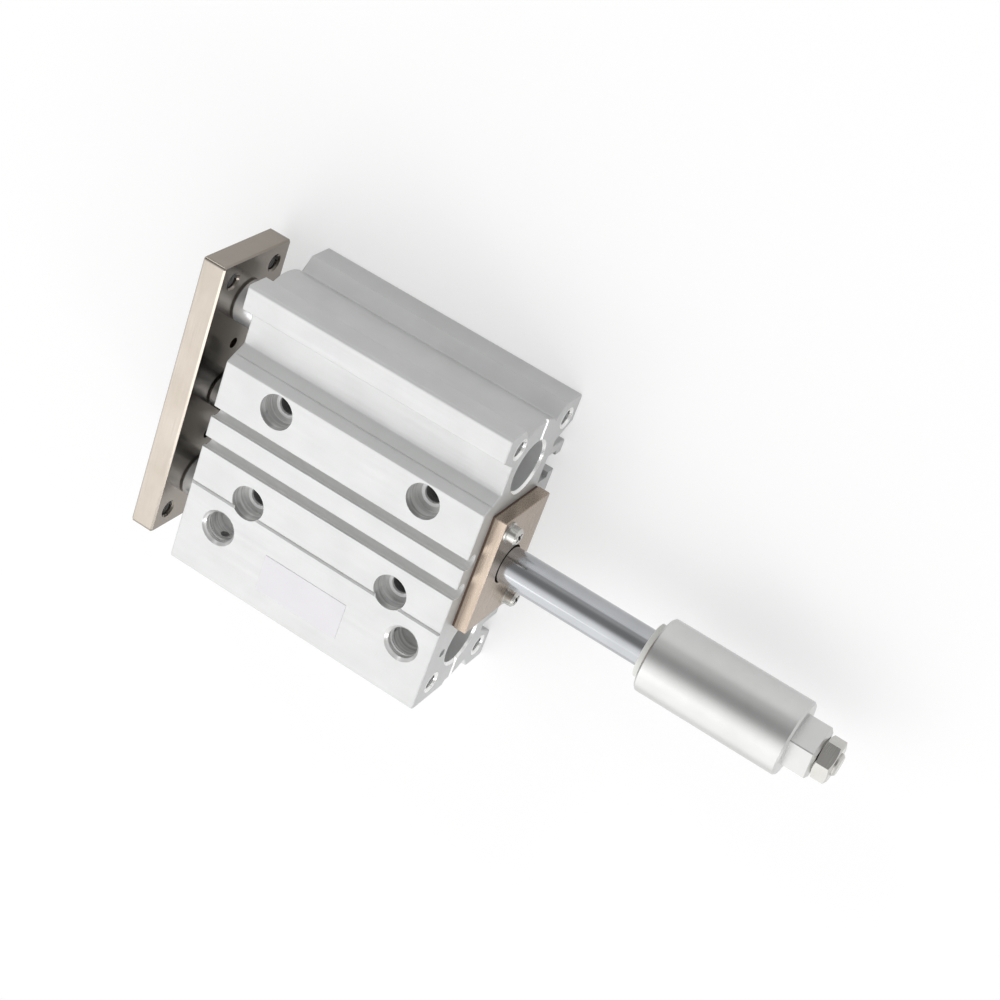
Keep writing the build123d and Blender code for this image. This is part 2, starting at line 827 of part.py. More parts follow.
with BuildPart() as piston_rod:
    revolve(shaft(piston_front_x, plate_inner_x, rod_radius), axis=piston_axis)
    spigot_end_x = piston_rear_x - piston_spigot_grip
    revolve(shaft(spigot_end_x, piston_front_x + rod_radius, piston_spigot_radius), axis=piston_axis)
    with Locations(along_x(plate_inner_x)):
        Cylinder(
            flat_screw_radius + seat_gap,
            flat_screw_grip + loose_gap,
            align=into_top,
            mode=Mode.SUBTRACT,
        )

# Three grooves share the length of the piston's full diameter
piston_land_start_x = piston_rear_x + piston_end_length
piston_land_end_x = piston_front_x - piston_end_length
groove_width = (piston_land_end_x - piston_land_start_x - 4 * piston_land) / 3
groove_pitch = groove_width + piston_land
seal_groove_x = piston_land_start_x + piston_land
magnet_groove_x = seal_groove_x + groove_pitch
wear_groove_x = magnet_groove_x + groove_pitch
groove_radius = bore_radius - piston_groove_depth

with BuildPart() as piston:
    revolve(ring(piston_rear_x, piston_front_x, 0, piston_end_radius), axis=piston_axis)
    revolve(ring(piston_land_start_x, piston_land_end_x, 0, bore_radius - piston_gap), axis=piston_axis)
    for groove_x in (seal_groove_x, magnet_groove_x, wear_groove_x):
        groove = ring(groove_x, groove_x + groove_width, groove_radius, bore_radius)
        revolve(groove, axis=piston_axis, mode=Mode.SUBTRACT)
    hole = ring(piston_rear_x, piston_front_x, 0, piston_spigot_radius + seat_gap)
    revolve(hole, axis=piston_axis, mode=Mode.SUBTRACT)


def piston_ring(groove_x, outer_gap):
    """Ring that fills one of the piston's grooves, up to a gap from the bore."""
    profile = ring(
        groove_x + seat_gap,
        groove_x + groove_width - seat_gap,
        groove_radius + seat_gap,
        bore_radius - outer_gap,
    )
    revolve(profile, axis=piston_axis)


with BuildPart() as piston_seal:
    piston_ring(seal_groove_x, piston_seal_gap)

with BuildPart() as piston_magnet:
    piston_ring(magnet_groove_x, piston_magnet_gap)

with BuildPart() as piston_wear_ring:
    piston_ring(wear_groove_x, piston_wear_gap)

with BuildPart() as tail_rod:
    revolve(shaft(tail_rod_end_x, piston_rear_x, rod_radius), axis=piston_axis)
    with Locations(along_x(piston_rear_x)):
        Cylinder(
            piston_spigot_radius + seat_gap,
            piston_spigot_grip + loose_gap,
            align=into_top,
            mode=Mode.SUBTRACT,
        )
    with Locations(along_x(tail_rod_end_x)):
        Cylinder(stud_radius + seat_gap, stud_embed + loose_gap, align=up_from_face, mode=Mode.SUBTRACT)

with BuildPart() as stopper_stud:
    stud_profile = shaft(stud_end_x, tail_rod_end_x + stud_embed, stud_radius, stud_tip_chamfer)
    revolve(stud_profile, axis=piston_axis)

# Square end of the stopper, milled on turned stock
with BuildPart() as wrench_end:
    with BuildSketch(Plane.YZ.offset(wrench_rear_x)):
        with Locations((0, axis_height)):
            Rectangle(wrench_square, wrench_square, rotation=wrench_turn)
    extrude(amount=wrench_length)
    chamfer(wrench_end.faces().sort_by(Axis.X)[0].edges(), length=wrench_corner_chamfer)
    with Locations(along_x(wrench_rear_x)):
        Cylinder(wrench_corner_radius, wrench_length, align=up_from_face, mode=Mode.INTERSECT)

# Stopper, which screws along the stud to set the stroke
with BuildPart() as stopper_sleeve:
    revolve(shaft(sleeve_rear_x, sleeve_front_x, stopper_radius, stopper_chamfer), axis=piston_axis)
    add(wrench_end.part)
    rod_hole_depth = stopper_adjustment + tail_rod_grip + loose_gap
    with Locations(along_x(sleeve_front_x)):
        Cylinder(rod_radius + stopper_rod_gap, rod_hole_depth, align=into_top, mode=Mode.SUBTRACT)
        Cylinder(
            stopper_bumper_radius + seat_gap, stopper_bumper_recess, align=into_top, mode=Mode.SUBTRACT
        )
    with Locations(along_x(wrench_rear_x)):
        Cylinder(
            stud_radius + thread_gap,
            wrench_length + stopper_length,
            align=up_from_face,
            mode=Mode.SUBTRACT,
        )

with BuildPart() as stopper_bumper:
    bumper_profile = ring(
        sleeve_front_x - stopper_bumper_recess,
        stopper_front_x,
        rod_radius + stopper_rod_gap,
        stopper_bumper_radius,
    )
    revolve(bumper_profile, axis=piston_axis)

with BuildPart() as lock_nut:
    with BuildSketch(Plane.YZ.offset(nut_rear_x)):
        with Locations((0, axis_height)):
            RegularPolygon(lock_nut_width / 2, 6, major_radius=False, rotation=lock_nut_turn)
            Circle(stud_radius + thread_gap, mode=Mode.SUBTRACT)
    extrude(amount=lock_nut_thickness)
    nut_corner_radius = lock_nut_width / 3**0.5 + seat_gap
    nut_end_radius = lock_nut_width / 2 - lock_nut_end_step
    nut_blank = turned_profile(
        [
            (nut_rear_x, 0),
            (nut_rear_x, nut_end_radius),
            (nut_rear_x + lock_nut_chamfer, nut_corner_radius),
            (nut_front_x - lock_nut_chamfer, nut_corner_radius),
            (nut_front_x, nut_end_radius),
            (nut_front_x, 0),
        ]
    )
    revolve(nut_blank, axis=piston_axis, mode=Mode.INTERSECT)

# Every piece by its name
pieces = {
    "cylinder_body": cylinder_body,
    "head_cover": head_cover,
    "head_cover_oring": head_cover_oring,
    "tail_rod_bush": tail_rod_bush,
    "tail_rod_seal": tail_rod_seal,
    "rod_cover": rod_cover,
    "rod_cover_oring": rod_cover_oring,
    "piston_rod_bush": piston_rod_bush,
    "piston_rod_seal": piston_rod_seal,
    "rod_cover_retaining_ring": rod_cover_retaining_ring,
    "rear_bumper": rear_bumper,
    "front_bumper": front_bumper,
    "front_guide_bushes": front_guide_bushes,
    "rear_guide_bushes": rear_guide_bushes,
    "guide_rod_wipers": guide_rod_wipers,
    "drilling_plug": drilling_plug,
    "head_gasket": head_gasket,
    "rear_plate": rear_plate,
    "rear_plate_screws": rear_plate_screws,
    "rear_plate_washers": rear_plate_washers,
    "rear_plate_spring_washers": rear_plate_spring_washers,
    "blank_label": blank_label,
    "tooling_plate": tooling_plate,
    "guide_rod_screws": guide_rod_screws,
    "piston_rod_screw": piston_rod_screw,
    "guide_rod_plain_side": guide_rod_plain_side,
    "guide_rod_port_side": guide_rod_port_side,
    "piston_rod": piston_rod,
    "piston": piston,
    "piston_seal": piston_seal,
    "piston_magnet": piston_magnet,
    "piston_wear_ring": piston_wear_ring,
    "tail_rod": tail_rod,
    "stopper_stud": stopper_stud,
    "stopper_sleeve": stopper_sleeve,
    "stopper_bumper": stopper_bumper,
    "lock_nut": lock_nut,
}

os.makedirs("parts", exist_ok=True)
for name, piece in pieces.items():
    piece.part.label = name
    export_step(piece.part, f"parts/{name}.step")
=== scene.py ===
"""Guided pneumatic cylinder: finishes, cut threads, studio and camera around the solid model."""

import logging
import math
from dataclasses import dataclass, field
from enum import Enum
from typing import Any

import bmesh
import bpy
from mathutils import Euler, Matrix, Vector


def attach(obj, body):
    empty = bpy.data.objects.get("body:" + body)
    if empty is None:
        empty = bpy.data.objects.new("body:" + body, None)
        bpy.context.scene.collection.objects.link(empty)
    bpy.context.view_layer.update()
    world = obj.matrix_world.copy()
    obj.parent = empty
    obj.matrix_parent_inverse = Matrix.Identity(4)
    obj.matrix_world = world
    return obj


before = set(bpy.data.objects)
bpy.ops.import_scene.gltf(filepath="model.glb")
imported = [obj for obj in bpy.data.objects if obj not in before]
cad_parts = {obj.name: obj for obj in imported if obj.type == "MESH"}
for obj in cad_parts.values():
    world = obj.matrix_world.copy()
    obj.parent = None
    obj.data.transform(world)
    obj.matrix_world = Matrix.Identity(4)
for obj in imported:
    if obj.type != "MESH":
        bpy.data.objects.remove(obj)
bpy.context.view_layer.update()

logging.basicConfig(level=logging.INFO, format="%(message)s")
log = logging.getLogger("guided_cylinder")

MM = 0.001
# Sides of the part across the stroke, and their names
SIDES = ((-1, "plain"), (1, "port"))
Bounds = tuple[float | None, float | None, float | None]
OPEN = (None, None, None)


class Along(Enum):
    """Direction in which a surface's fine lines run, in the part's own frame."""

    STROKE = (0.02, 1.0, 1.0)
    WIDTH = (1.0, 0.02, 1.0)
    RINGS = (1.0, 0.03, 0.03)
    DEPTH = (0.06, 0.06, 1.0)
    NONE = (1.0, 1.0, 1.0)


class Body(Enum):
    """Bodies of the frame that pieces ride on."""

    HOUSING = "housing"
    CARRIAGE = "carriage"


def linear(hex_colour: str) -> tuple[float, float, float, float]:
    """Turn an sRGB hex colour into a linear colour.

    Args:
        hex_colour: Six hex digits, such as "D8D9D8".

    Returns:
        Red, green, blue and alpha, linear.
    """
    parts = [int(hex_colour[i : i + 2], 16) / 255 for i in (0, 2, 4)]
    red, green, blue = [c / 12.92 if c <= 0.04045 else ((c + 0.055) / 1.055) ** 2.4 for c in parts]
    return (red, green, blue, 1.0)


def add_node(
    tree: bpy.types.NodeTree,
    kind: str,
    settings: dict[str, Any] | None = None,
    inputs: dict[str | int, Any] | None = None,
) -> bpy.types.Node:
    """Add one node with its settings, values and links.

    Args:
        tree: Node tree that takes the node.
        kind: Blender's name of the node type.
        settings: Properties of the node.
        inputs: Input name or number to a value, or to the output socket that it is linked to.

    Returns:
        The new node.
    """
    node = tree.nodes.new(kind)
    for key, value in (settings or {}).items():
        setattr(node, key, value)
    for key, value in (inputs or {}).items():
        if isinstance(value, bpy.types.NodeSocket):
            tree.links.new(value, node.inputs[key])
        else:
            node.inputs[key].default_value = value
    return node


@dataclass(frozen=True)
class Zone:
    """Region of the body with a finish of its own: round holes or slots, mirrored about a middle.

    Sizes are in millimetres. middle and half_spacing place the holes, radius is their reach, and flat says
    which directions count towards it. low and high bound the region, None where it is open. marks is the
    direction of the tool marks, and contrast is how much darker they are at most.
    """

    middle: tuple[float, float, float]
    half_spacing: tuple[float, float, float]
    radius: float
    flat: tuple[float, float, float]
    low: Bounds
    high: Bounds
    colour: str
    metallic: float
    roughness: float
    marks: Along = Along.NONE
    contrast: float = 0.0

    def mask(self, tree: bpy.types.NodeTree, place: bpy.types.NodeSocket) -> bpy.types.NodeSocket:
        """Add a value that is 1 inside the region and 0 outside it.

        Args:
            tree: Node tree of the body's material.
            place: Object coordinates, in metres.

        Returns:
            The value.
        """
        steps = (
            ("SUBTRACT", tuple(c * MM for c in self.middle)),
            ("ABSOLUTE", None),
            ("SUBTRACT", tuple(c * MM for c in self.half_spacing)),
            ("MULTIPLY", self.flat),
        )
        point = place
        for operation, value in steps:
            inputs = {0: point} if value is None else {0: point, 1: value}
            point = add_node(tree, "ShaderNodeVectorMath", {"operation": operation}, inputs).outputs[0]
        reach = add_node(tree, "ShaderNodeVectorMath", {"operation": "LENGTH"}, {0: point}).outputs["Value"]
        inside = add_node(
            tree, "ShaderNodeMath", {"operation": "LESS_THAN"}, {0: reach, 1: self.radius * MM}
        ).outputs[0]
        parts = add_node(tree, "ShaderNodeSeparateXYZ", inputs={0: place}).outputs
        for axis in range(3):
            for operation, bound in (("GREATER_THAN", self.low[axis]), ("LESS_THAN", self.high[axis])):
                if bound is not None:
                    side = add_node(
                        tree, "ShaderNodeMath", {"operation": operation}, {0: parts[axis], 1: bound * MM}
                    ).outputs[0]
                    inside = add_node(
                        tree, "ShaderNodeMath", {"operation": "MULTIPLY"}, {0: inside, 1: side}
                    ).outputs[0]
        return inside


# Regions of the body that differ from its etched outside; most are painted lighter than the metal, as painted
# light in the shade of holes and slots
BODY_ZONES = (
    # Counterbores of the mounting holes, with the rings of the cutter, painted lighter than the outside as
    # painted light in the shade of the holes
    Zone((0.0, 0.0, 0.0), (22.0, 14.0, 0.0), 4.9, (1, 1, 0), (None, None, 29.8), (None, None, 35.95),
         "F4F4F3", 0.5, 0.28, Along.DEPTH, 0.36),
    # Seats for the bolt heads at their bottom, painted white and not metallic as painted light that lifts the
    # shade of the hole
    Zone((0.0, 0.0, 0.0), (22.0, 14.0, 0.0), 3.5, (1, 1, 0), (None, None, 29.8), (None, None, 30.6),
         "FFFFFF", 0.0, 0.3),
    # Air ports, with the rings of the cutter, painted lighter than the outside as painted light in their
    # shade
    Zone((-0.7, 25.5, 0.0), (28.7, 0.0, 0.0), 5.1, (1, 1, 0), (None, None, 27.5), (None, None, 35.95),
         "F4F4F3", 0.5, 0.28, Along.DEPTH, 0.38),
    # Slots for sensors, painted lighter and less metallic than the outside as painted light in their shade
    Zone((0.0, 0.0, 33.6), (0.0, 4.5, 0.0), 2.3, (0, 1, 1), OPEN, (None, None, 35.2),
         "E2E2E1", 0.15, 0.4),
    # Mouths of the guide bores in the rear face
    Zone((0.0, 0.0, 19.0), (0.0, 27.0, 0.0), 7.7, (0, 1, 1), OPEN, (-37.38, None, None),
         "F0F0EF", 0.9, 0.2),
    # Mouths of the tapped holes in the rear face
    Zone((0.0, 0.0, 17.0), (0.0, 36.0, 12.0), 3.0, (0, 1, 1), OPEN, (-37.1, None, None),
         "F0F0EF", 0.9, 0.2),
    # Vents across the rear face, painted near white as a painted highlight along their floor
    Zone((0.0, 0.0, 17.5), (0.0, 38.0, 0.0), 5.0, (0, 1, 0), (None, None, 16.8), (-37.35, None, 18.2),
         "F6F6F5", 0.5, 0.25),
    # Front ends of the guide bores, painted near white and not metallic as painted light in the shade around
    # the guide rods
    Zone((0.0, 0.0, 19.0), (0.0, 27.0, 0.0), 7.9, (0, 1, 1), (30.0, None, None), OPEN,
         "FAFAF9", 0.0, 0.35),
)


# Millimetres across one cloudy patch of a finish, and from one tool mark to the next
PATCH_SIZE = 9.0
TOOL_MARK_PITCH = 0.9
COAT_ROUGHNESS = 0.12


@dataclass(frozen=True)
class Finish:
    """Surface of one real material, with its colour, gloss and fine relief.

    Sizes of the relief are in millimetres. Fine lines that are too fine to show are drawn as coarse as the
    picture needs.
    """

    name: str
    colour: str
    shade: str
    metallic: float
    roughness: float
    grit: float = 0.3
    relief: float = 0.004
    lines: Along = Along.NONE
    line_pitch: float = 0.2
    line_relief: float = 0.0
    roughness_spread: float = 0.06
    coat: float = 0.0
    holes_machined_and_painted_lighter: bool = False

    def build(self) -> bpy.types.Material:
        """Make the material's nodes.

        Returns:
            The material.
        """
        material = bpy.data.materials.new(self.name)
        material.use_nodes = True
        tree = material.node_tree
        shader = tree.nodes["Principled BSDF"]
        shader.inputs["Metallic"].default_value = self.metallic
        shader.inputs["Coat Weight"].default_value = self.coat
        shader.inputs["Coat Roughness"].default_value = COAT_ROUGHNESS
        place = add_node(tree, "ShaderNodeTexCoord").outputs["Object"]
        patches = self.noise(tree, place, PATCH_SIZE, Along.NONE.value, 3.0)
        grit = self.noise(tree, place, self.grit, Along.NONE.value, 2.0)
        lines = self.noise(tree, place, self.line_pitch, self.lines.value, 2.0)
        blend = add_node(
            tree,
            "ShaderNodeMapRange",
            inputs={"Value": patches, "From Min": 0.3, "From Max": 0.7, "To Min": 0.0, "To Max": 1.0},
        ).outputs["Result"]
        mix = add_node(
            tree,
            "ShaderNodeMix",
            {"data_type": "RGBA"},
            {"Factor": blend, 6: linear(self.colour), 7: linear(self.shade)},
        )
        tree.links.new(mix.outputs[2], shader.inputs["Base Color"])
        roughness = add_node(
            tree,
            "ShaderNodeMapRange",
            inputs={
                "Value": lines,
                "From Min": 0.2,
                "From Max": 0.8,
                "To Min": max(self.roughness - self.roughness_spread, 0.02),
                "To Max": self.roughness + self.roughness_spread,
            },
        )
        tree.links.new(roughness.outputs["Result"], shader.inputs["Roughness"])
        if self.holes_machined_and_painted_lighter:
            self.brighten_holes(tree, place, mix.outputs[2], roughness.outputs["Result"])
        bump = add_node(
            tree,
            "ShaderNodeBump",
            inputs={"Strength": 1.0, "Distance": self.relief * MM, "Height": grit},
        )
        if self.line_relief > 0.0:
            bump = add_node(
                tree,
                "ShaderNodeBump",
                inputs={
                    "Strength": 1.0,
                    "Distance": self.line_relief * MM,
                    "Height": lines,
                    "Normal": bump.outputs["Normal"],
                },
            )
        tree.links.new(bump.outputs["Normal"], shader.inputs["Normal"])
        return material

    def brighten_holes(
        self,
        tree: bpy.types.NodeTree,
        place: bpy.types.NodeSocket,
        colour: bpy.types.NodeSocket,
        roughness: bpy.types.NodeSocket,
    ) -> None:
        """Give the machined holes, their chamfers and the slots a smoother and brighter surface, most of them
        painted lighter as painted light in their shade.

        Args:
            tree: Node tree of the body's material.
            place: Object coordinates, in metres.
            colour: Colour of the etched outside.
            roughness: Roughness of the etched outside.
        """
        shader = tree.nodes["Principled BSDF"]
        metallic = add_node(tree, "ShaderNodeValue").outputs[0]
        metallic.default_value = self.metallic
        for zone in BODY_ZONES:
            inside = zone.mask(tree, place)
            marks = add_node(
                tree,
                "ShaderNodeMapRange",
                inputs={
                    "Value": self.noise(tree, place, TOOL_MARK_PITCH, zone.marks.value, 1.0),
                    "From Min": 0.35,
                    "From Max": 0.65,
                    "To Min": 1.0 - zone.contrast,
                    "To Max": 1.0,
                },
            ).outputs["Result"]
            bright = add_node(
                tree,
                "ShaderNodeVectorMath",
                {"operation": "MULTIPLY"},
                {0: linear(zone.colour)[:3], 1: marks},
            ).outputs[0]
            colour = add_node(
                tree, "ShaderNodeMix", {"data_type": "RGBA"}, {"Factor": inside, 6: colour, 7: bright}
            ).outputs[2]
            metallic = add_node(
                tree,
                "ShaderNodeMix",
                {"data_type": "FLOAT"},
                {"Factor": inside, "A": metallic, "B": zone.metallic},
            ).outputs[0]
            roughness = add_node(
                tree,
                "ShaderNodeMix",
                {"data_type": "FLOAT"},
                {"Factor": inside, "A": roughness, "B": zone.roughness},
            ).outputs[0]
        tree.links.new(colour, shader.inputs["Base Color"])
        tree.links.new(metallic, shader.inputs["Metallic"])
        tree.links.new(roughness, shader.inputs["Roughness"])

    def noise(
        self,
        tree: bpy.types.NodeTree,
        place: bpy.types.NodeSocket,
        size: float,
        stretch: tuple[float, float, float],
        detail: float,
    ) -> bpy.types.NodeSocket:
        """Add noise of a real size.

        Args:
            tree: Node tree of the material.
            place: Object coordinates, in metres.
            size: Size of one spot in millimetres.
            stretch: Scale along each axis, under 1 where the spots are drawn out into lines.
            detail: Octaves of finer noise.

        Returns:
            The noise's factor.
        """
        scale = tuple(s / (size * MM) for s in stretch)
        mapping = add_node(tree, "ShaderNodeMapping", inputs={"Vector": place, "Scale": scale})
        noise = add_node(
            tree,
            "ShaderNodeTexNoise",
            inputs={"Vector": mapping.outputs["Vector"], "Scale": 1.0, "Detail": detail},
        )
        return noise.outputs["Fac"]


# Clear anodised aluminium profile, matt etched: pale and even, with faint drawing lines along the stroke. The
# counterbores and ports are machined, smoother than the etched outside, and painted brighter as painted light
# in their shade
ANODISED_PROFILE = Finish(
    "anodised_aluminium_profile", "D4D5D4", "CECFCE", 0.38, 0.44, 0.35, 0.006, Along.STROKE, 0.6, 0.003,
    holes_machined_and_painted_lighter=True,
)
# Natural turned aluminium: brighter and greyer than the anodised profile, with fine rings
TURNED_ALUMINIUM = Finish(
    "turned_aluminium", "C9CACA", "C1C2C2", 1.0, 0.3, 0.3, 0.002, Along.RINGS, 0.15, 0.004
)
# Ground steel under bright nickel: a warm grey mirror, a little cloudy from grinding along the width
NICKEL_PLATED_STEEL = Finish(
    "nickel_plated_ground_steel", "958E86", "8F887F", 1.0, 0.2, 0.3, 0.001, Along.WIDTH, 0.25, 0.0012,
    roughness_spread=0.05,
)
# The rear plate's nickel is thinner and looks tan
TAN_NICKEL_STEEL = Finish(
    "nickel_plated_pressed_steel", "AFA092", "A8998B", 0.8, 0.28, 0.3, 0.0015, Along.WIDTH, 0.3, 0.0015,
    roughness_spread=0.05,
)
# Hard chrome on a ground rod: a cold mirror with soft streaks along the rod
HARD_CHROME = Finish(
    "hard_chrome_ground_rod", "B3B5B8", "ADAFB2", 1.0, 0.13, 0.3, 0.0004, Along.STROKE, 0.5, 0.002,
    roughness_spread=0.04,
)
# Hard chrome on the thicker guide rods, painted paler and less metallic as painted light that lifts their
# shade between the plate and the body
CHROME_PAINTED_LIGHTER = Finish(
    "hard_chrome_guide_rod_painted_lighter", "E2E3E5", "DBDCDE", 0.6, 0.22, 0.3, 0.0004, Along.STROKE, 0.5, 0.002,
    roughness_spread=0.05,
)
# Thread cut before the body was anodised, painted dark grey as painted shade deep inside the holes, half
# bright
PAINTED_DARK_THREAD = Finish("cut_thread_painted_dark", "8C8C8B", "7E7E7E", 0.35, 0.42, 0.3, 0.004)
# Fine turned and satin nickel plated steel: a soft wide shine with faint rings
SATIN_SLEEVE = Finish(
    "satin_turned_sleeve", "CFCFCE", "C9C9C8", 1.0, 0.34, 0.25, 0.003, Along.RINGS, 0.12, 0.0025,
    roughness_spread=0.04,
)
# Bright zinc plated steel of small screws, nuts and washers
ZINC_PLATED_STEEL = Finish(
    "bright_zinc_plated_steel", "CCCBC7", "BFBEBA", 1.0, 0.24, 0.4, 0.003, Along.RINGS, 0.2, 0.001
)
# Black oxide on alloy steel screws: dark, with an oily half gloss
BLACK_OXIDE_STEEL = Finish("black_oxide_steel", "2A2A2C", "222224", 0.85, 0.38, 0.3, 0.004)
# Nitrile rubber: black, soft sheen, slightly greyed on its surface
NITRILE_RUBBER = Finish("nitrile_rubber", "1F1F20", "262627", 0.0, 0.55, 0.4, 0.01)
# Cast polyurethane of the bumpers: pale, a little yellow and waxy
POLYURETHANE = Finish("cast_polyurethane", "EAEAE6", "E3E3DE", 0.0, 0.4, 0.6, 0.008)
# Pressed gasket sheet: dark brown with a fibrous face
GASKET_SHEET = Finish("gasket_sheet", "6B5649", "5F4B3F", 0.0, 0.7, 0.3, 0.02)
# Oil filled sintered bronze: brown, with open pores
SINTERED_BRONZE = Finish("sintered_bronze", "A8783F", "956A38", 1.0, 0.42, 0.25, 0.012)
# Natural acetal: ivory and a little translucent to the eye
ACETAL = Finish("natural_acetal", "E2DED0", "DBD7C8", 0.0, 0.4, 0.5, 0.005)
# Plastic bonded magnet: near black with a speckled moulded face
BONDED_MAGNET = Finish("bonded_magnet", "38332F", "2E2A27", 0.2, 0.5, 0.3, 0.012)
# Printed label stock left blank: white and smooth, with a satin laminate
LABEL_STOCK = Finish("blank_label_laminate", "E2E0E4", "DEDCE0", 0.0, 0.35, 0.5, 0.001, coat=0.3)

DRESSES = {
    ANODISED_PROFILE: ("cylinder_body",),
    TURNED_ALUMINIUM: ("head_cover", "rod_cover", "drilling_plug", "piston"),
    NICKEL_PLATED_STEEL: ("tooling_plate",),
    TAN_NICKEL_STEEL: ("rear_plate",),
    HARD_CHROME: ("piston_rod", "tail_rod"),
    CHROME_PAINTED_LIGHTER: ("guide_rod_plain_side", "guide_rod_port_side"),
    SATIN_SLEEVE: ("stopper_sleeve",),
    ZINC_PLATED_STEEL: (
        "rear_plate_screws",
        "rear_plate_washers",
        "rear_plate_spring_washers",
        "stopper_stud",
        "lock_nut",
    ),
    BLACK_OXIDE_STEEL: ("guide_rod_screws", "piston_rod_screw", "rod_cover_retaining_ring"),
    NITRILE_RUBBER: (
        "head_cover_oring",
        "rod_cover_oring",
        "tail_rod_seal",
        "piston_rod_seal",
        "guide_rod_wipers",
        "piston_seal",
    ),
    POLYURETHANE: ("rear_bumper", "front_bumper", "stopper_bumper"),
    GASKET_SHEET: ("head_gasket",),
    SINTERED_BRONZE: ("tail_rod_bush", "piston_rod_bush", "front_guide_bushes", "rear_guide_bushes"),
    ACETAL: ("piston_wear_ring",),
    BONDED_MAGNET: ("piston_magnet",),
    LABEL_STOCK: ("blank_label",),
    PAINTED_DARK_THREAD: (),
}


def dress_nodes() -> dict[str, bpy.types.Material]:
    """Give every node of the solid model its finish.

    Returns:
        The finishes' materials by name.
    """
    made = {}
    for finish, names in DRESSES.items():
        material = finish.build()
        made[finish.name] = material
        for name in names:
            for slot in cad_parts[name].material_slots:
                slot.material = material
            log.info("dressed %s as %s", name, finish.name)
    return made


@dataclass(frozen=True)
class Form:
    """Form of a thread in millimetres, and the finish that it is cut in.

    wall is the radius of the hole and depth the height of the thread's crest over it, which runs out within
    one turn at each end. inset lies between the hole's mouth and the thread. root_share and crest_share are
    the shares of the pitch at which the flanks start and end, from the middle of the crest.
    """

    wall: float
    depth: float
    pitch: float
    length: float
    inset: float
    finish: Finish
    steps_per_turn: int = 36
    stand_off: float = 0.01
    root_share: float = 0.44
    crest_share: float = 0.07


PORT_THREAD = Form(4.2, 0.2, 0.907, 2.4, 1.3, ANODISED_PROFILE)
MOUNTING_THREAD = Form(2.6, 0.14, 1.0, 28.8, 1.1, PAINTED_DARK_THREAD)
# Painted light: the rear face threads take the bright turned aluminium, where the other cut threads are
# painted dark
REAR_FACE_THREAD = Form(2.1, 0.18, 0.8, 8.0, 1.2, TURNED_ALUMINIUM)
PLATE_THREAD = Form(2.1, 0.12, 0.8, 4.8, 1.1, PAINTED_DARK_THREAD)


@dataclass(frozen=True)
class Thread:
    """Helical thread that covers the wall of a hole.

    mouth is the middle of the hole's mouth in millimetres, and outward points out of it.
    """

    name: str
    mouth: tuple[float, float, float]
    outward: tuple[float, float, float]
    form: Form
    body: Body
    slot: str

    def build(self, materials: dict[str, bpy.types.Material]) -> bpy.types.Object:
        """Wind the ridge and hand it to its body.

        Args:
            materials: Finished materials by name.

        Returns:
            The thread's object.
        """
        form = self.form
        turns = form.length / form.pitch
        steps = round(turns * form.steps_per_turn)
        work = bmesh.new()
        root = form.wall - form.stand_off
        crest = root - form.depth
        half = (
            (form.wall + form.stand_off, 0.5),
            (root, 0.5),
            (root, form.root_share),
            (crest, form.crest_share),
        )
        section = [(radius, share * form.pitch) for radius, share in half]
        section += [(radius, -height) for radius, height in reversed(section)]
        corners = [work.verts.new((radius, 0.0, height)) for radius, height in section]
        face = work.faces.new(corners)
        bmesh.ops.spin(
            work,
            geom=[face, *face.edges, *face.verts],
            cent=(0.0, 0.0, 0.0),
            axis=(0.0, 0.0, 1.0),
            dvec=(0.0, 0.0, -form.pitch / form.steps_per_turn),
            angle=2 * math.pi * steps / form.steps_per_turn,
            steps=steps,
        )
        for index, vert in enumerate(work.verts):
            step = index // len(section)
            share = min(1.0, step / form.steps_per_turn, (steps - step) / form.steps_per_turn)
            radius = vert.co.xy.length
            if radius < root:
                vert.co.xy *= (root - (root - radius) * share) / radius
        bmesh.ops.remove_doubles(work, verts=work.verts, dist=1e-4)
        bmesh.ops.holes_fill(work, edges=work.edges, sides=4)
        bmesh.ops.recalc_face_normals(work, faces=work.faces)
        outward = Vector(self.outward)
        start = Vector(self.mouth) - form.inset * outward
        turn = Vector((0.0, 0.0, 1.0)).rotation_difference(outward).to_matrix().to_4x4()
        place = Matrix.Translation(start * MM) @ turn @ Matrix.Scale(MM, 4)
        bmesh.ops.transform(work, matrix=place, verts=work.verts)
        mesh = bpy.data.meshes.new(self.name)
        work.to_mesh(mesh)
        work.free()
        mesh.materials.append(materials[form.finish.name])
        piece = bpy.data.objects.new(self.name, mesh)
        bpy.context.scene.collection.objects.link(piece)
        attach(piece, self.body.value)
        log.info("wound %s, %.1f turns", self.name, turns)
        return piece


